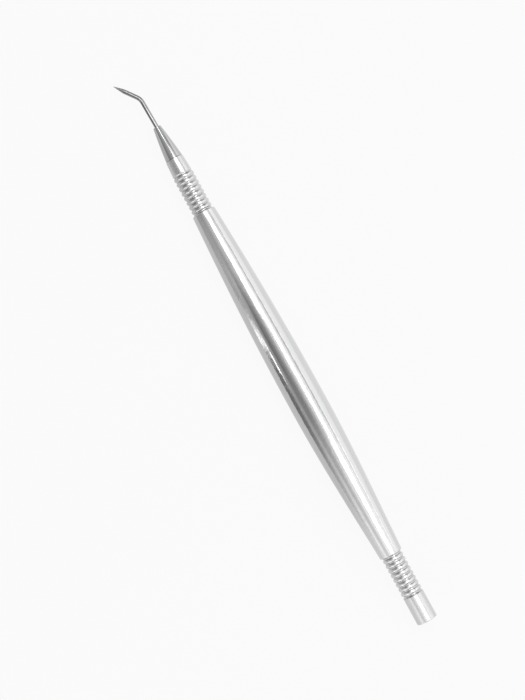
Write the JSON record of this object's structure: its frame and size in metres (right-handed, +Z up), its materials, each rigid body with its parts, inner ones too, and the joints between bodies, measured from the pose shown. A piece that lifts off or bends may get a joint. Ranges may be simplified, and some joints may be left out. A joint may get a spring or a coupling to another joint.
{
  "type": "lash lift tool",
  "caption": "Slim turned metal lash tool: a bent pointed needle in a screw-on steel cone, ringed finger grips, a spindle-shaped barrel and a plain round end cap.",
  "frame": {"origin": "middle of the tool's length, under its axis, on the surface that its belly rests on", "axes": "+X along the tool's axis towards the needle, +Y to the side that the needle bends to, +Z up"},
  "size_m": [0.14, 0.0086, 0.0085],
  "materials": {
    "needle_steel": "polished",
    "cone_steel": "polished",
    "grip_aluminium": "bright turned",
    "barrel_aluminium": "satin, fine brushed"
  },
  "bodies": {
    "handle": {"handle_barrel": "barrel_aluminium", "front_grip": "grip_aluminium", "rear_grip": "grip_aluminium"},
    "tip": {"tip_cone": "cone_steel", "pick_needle": "needle_steel"},
    "cap": {"end_cap": "grip_aluminium"}
  },
  "joints": [
    {"name": "tip_unscrew", "type": "slide", "parent": "handle", "child": "tip", "axis": [1, 0, 0], "range_m": [0, 0.006]},
    {"name": "cap_unscrew", "type": "slide", "parent": "handle", "child": "cap", "axis": [-1, 0, 0], "range_m": [0, 0.006]}
  ]
}
